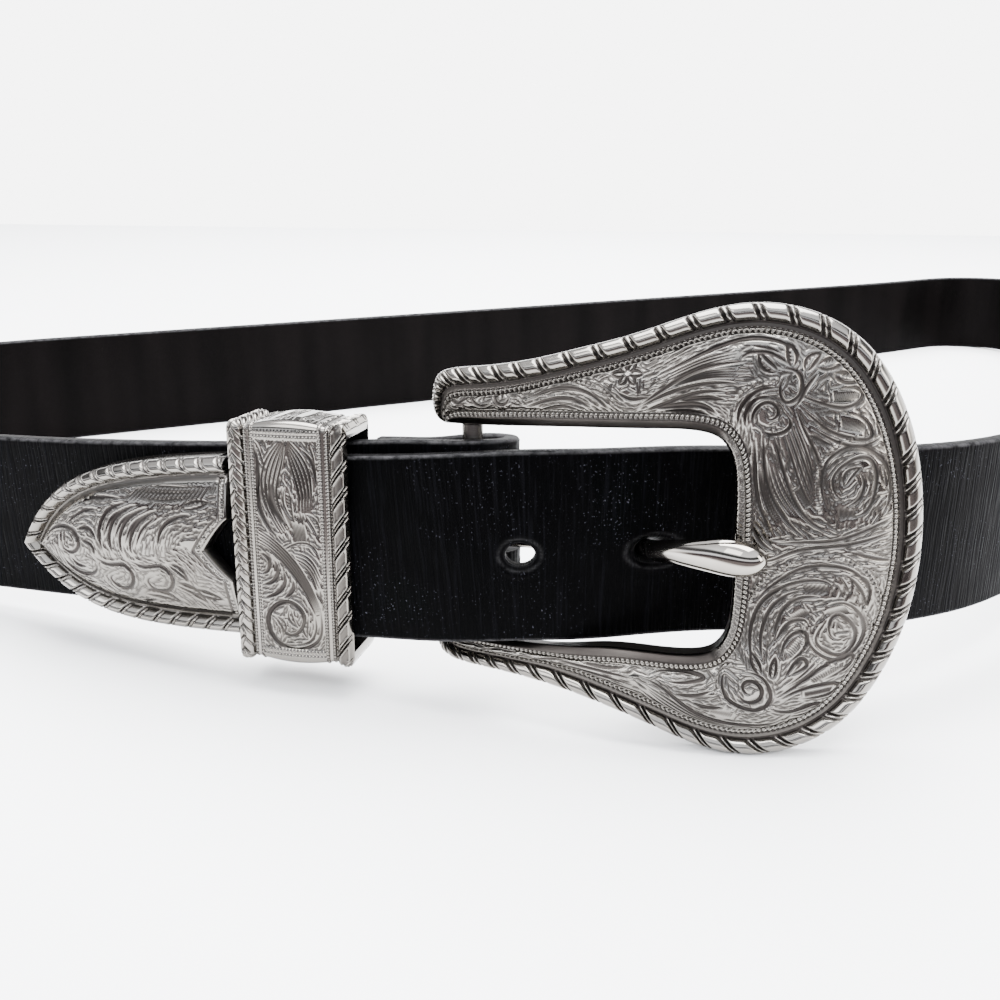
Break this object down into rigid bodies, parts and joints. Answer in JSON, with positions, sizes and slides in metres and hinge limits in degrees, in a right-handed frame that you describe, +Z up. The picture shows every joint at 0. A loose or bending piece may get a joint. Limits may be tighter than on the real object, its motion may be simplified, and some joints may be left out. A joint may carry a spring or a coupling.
{
  "type": "western belt",
  "caption": "Leather western belt fastened in a loop, with an engraved metal buckle, keeper loop and strap tip.",
  "frame": {"origin": "middle of the belt's footprint, on the floor it stands on", "axes": "+Z up, the buckle faces -Y, +X towards the buckle's round side"},
  "size_m": [0.4316, 0.3518, 0.073],
  "materials": {
    "leather": "black, fine crosswise ribs, satin",
    "engraved_metal": "bright plated, engraved scrolls and rope edge",
    "plain_metal": "bright plated, smooth"
  },
  "bodies": {
    "root": {"strap": "leather", "buckle_frame": "engraved_metal", "keeper": "engraved_metal", "tip": "engraved_metal", "prong": "plain_metal", "chape_screw_upper": "plain_metal", "chape_screw_lower": "plain_metal"}
  },
  "joints": []
}
